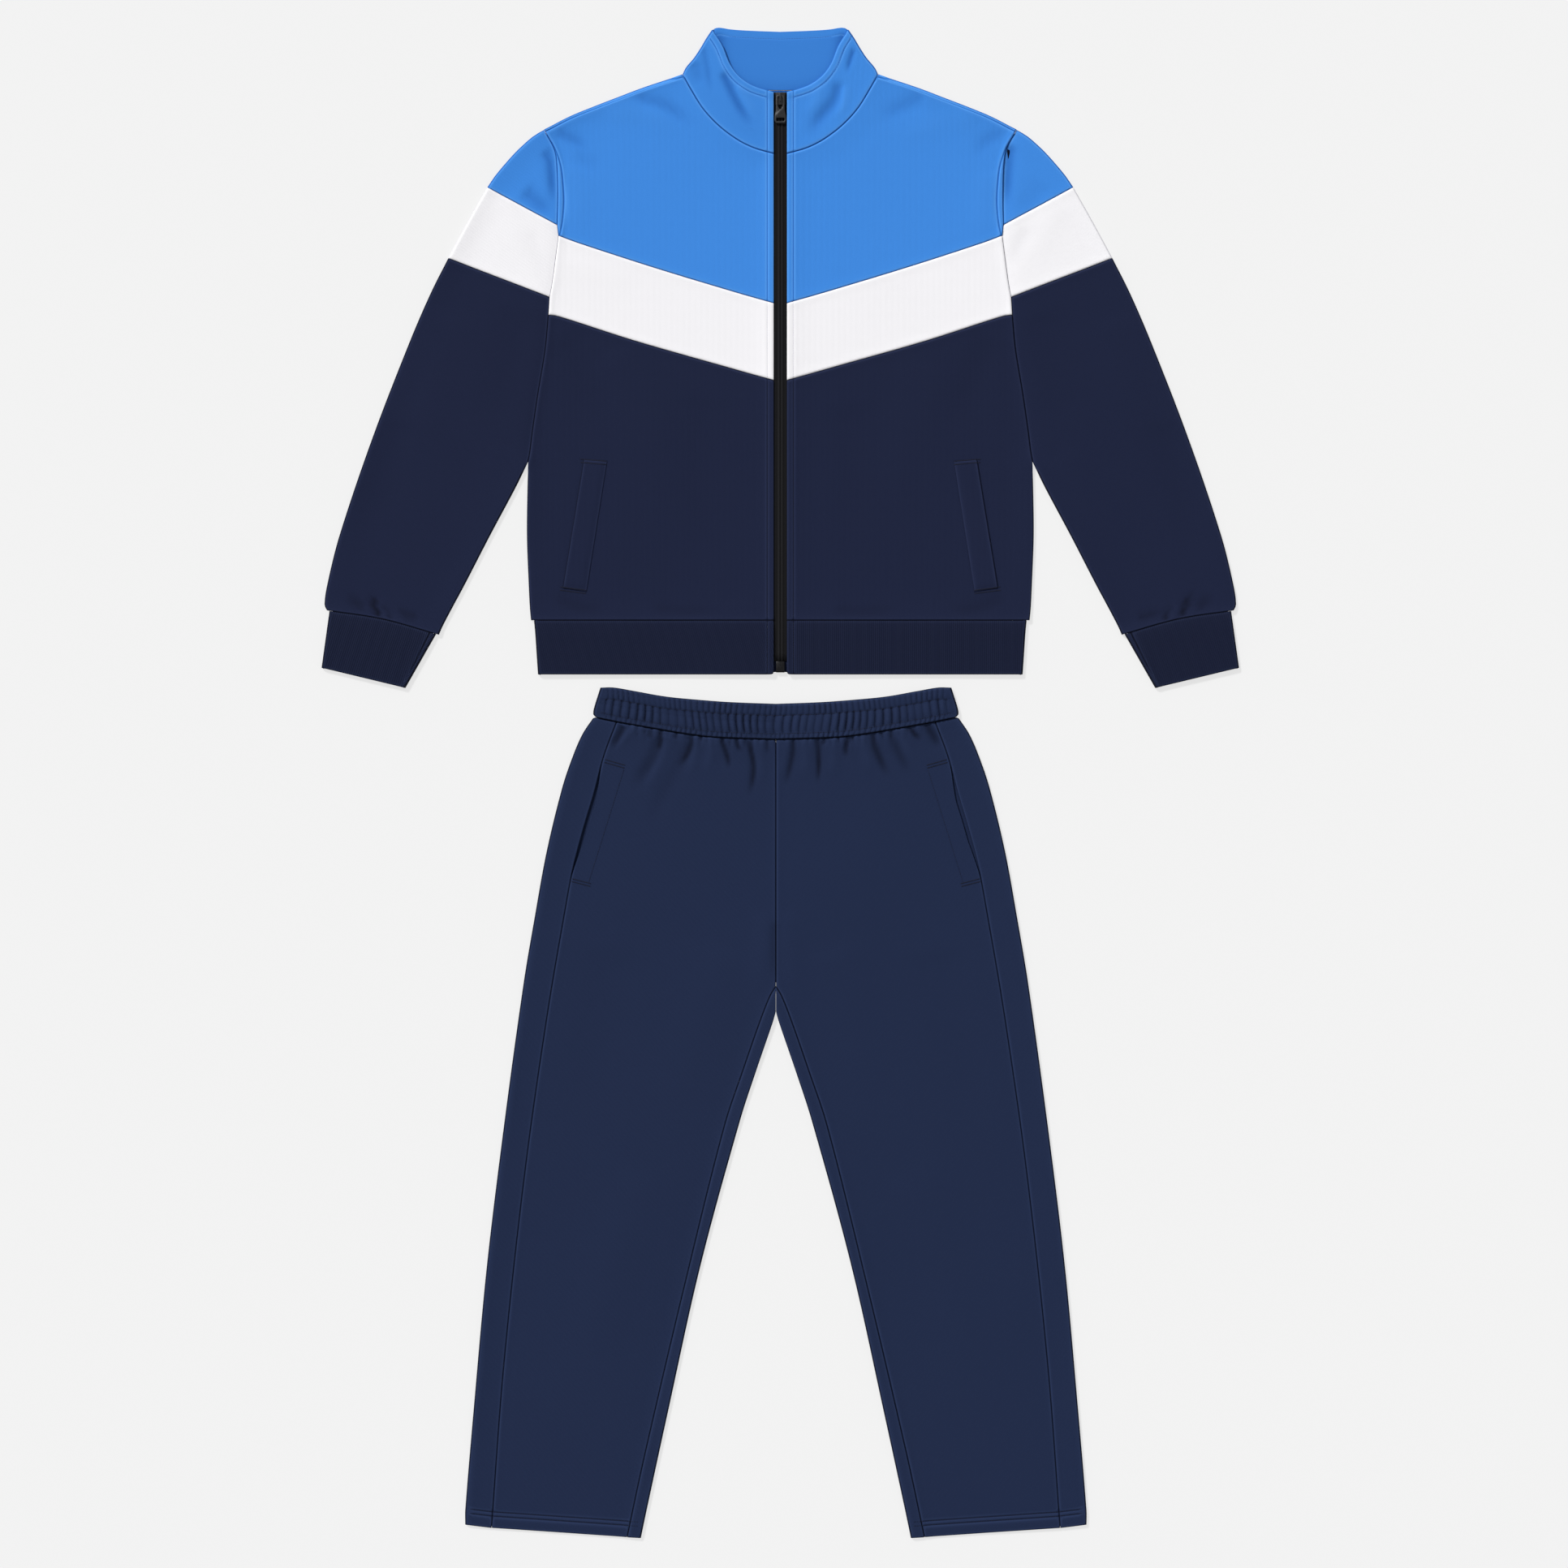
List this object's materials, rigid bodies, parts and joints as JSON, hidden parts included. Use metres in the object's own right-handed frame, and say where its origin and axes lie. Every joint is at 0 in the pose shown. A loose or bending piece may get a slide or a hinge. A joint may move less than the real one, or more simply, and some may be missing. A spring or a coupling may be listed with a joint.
{
  "type": "tracksuit",
  "caption": "Tracksuit laid flat: zip jacket with stand collar, colour-blocked yoke and chest band, ribbed cuffs and hem, above trousers with a gathered elastic waist.",
  "frame": {"origin": "middle of the bounding box at the surface that the garments lie on", "axes": "+Y runs up the garments from the trouser hems to the collar, +X is the wearer's left, and +Z rises from the surface"},
  "size_m": [1.0732, 1.7662, 0.0084],
  "materials": {
    "blue_knit": "smooth matt polyester knit",
    "white_knit": "smooth matt polyester knit",
    "navy_knit": "smooth matt polyester knit, ribbed on cuffs and hem band",
    "trouser_knit": "smooth matt polyester knit",
    "zip_tape": "woven tape and moulded teeth",
    "zip_metal": "black enamel on zinc"
  },
  "bodies": {
    "garments": {"collar": "blue_knit", "jacket_back_yoke": "blue_knit", "jacket_front_yoke_left": "blue_knit", "jacket_front_yoke_right": "blue_knit", "sleeve_cap_left": "blue_knit", "sleeve_cap_right": "blue_knit", "jacket_back_band": "white_knit", "jacket_front_band_left": "white_knit", "jacket_front_band_right": "white_knit", "sleeve_band_left": "white_knit", "sleeve_band_right": "white_knit", "jacket_back_lower": "navy_knit", "hem_band": "navy_knit", "jacket_front_lower_left": "navy_knit", "jacket_front_lower_right": "navy_knit", "sleeve_lower_left": "navy_knit", "sleeve_lower_right": "navy_knit", "cuff_left": "navy_knit", "cuff_right": "navy_knit", "jacket_pocket_welt_left": "navy_knit", "jacket_pocket_welt_right": "navy_knit", "waistband": "trouser_knit", "leg_front_left": "trouser_knit", "leg_front_right": "trouser_knit", "leg_back_left": "trouser_knit", "leg_back_right": "trouser_knit", "zip_tape": "zip_tape", "zip_box": "zip_metal", "zip_slider": "zip_metal"},
    "pull_tab": {"zip_pull_tab": "zip_metal"}
  },
  "joints": [
    {"name": "pull_tab_swing", "type": "hinge", "parent": "garments", "child": "pull_tab", "pos_m": [0, 0.8032, 0.0069], "axis": [-1, 0, 0], "range_deg": [0, 170]}
  ]
}
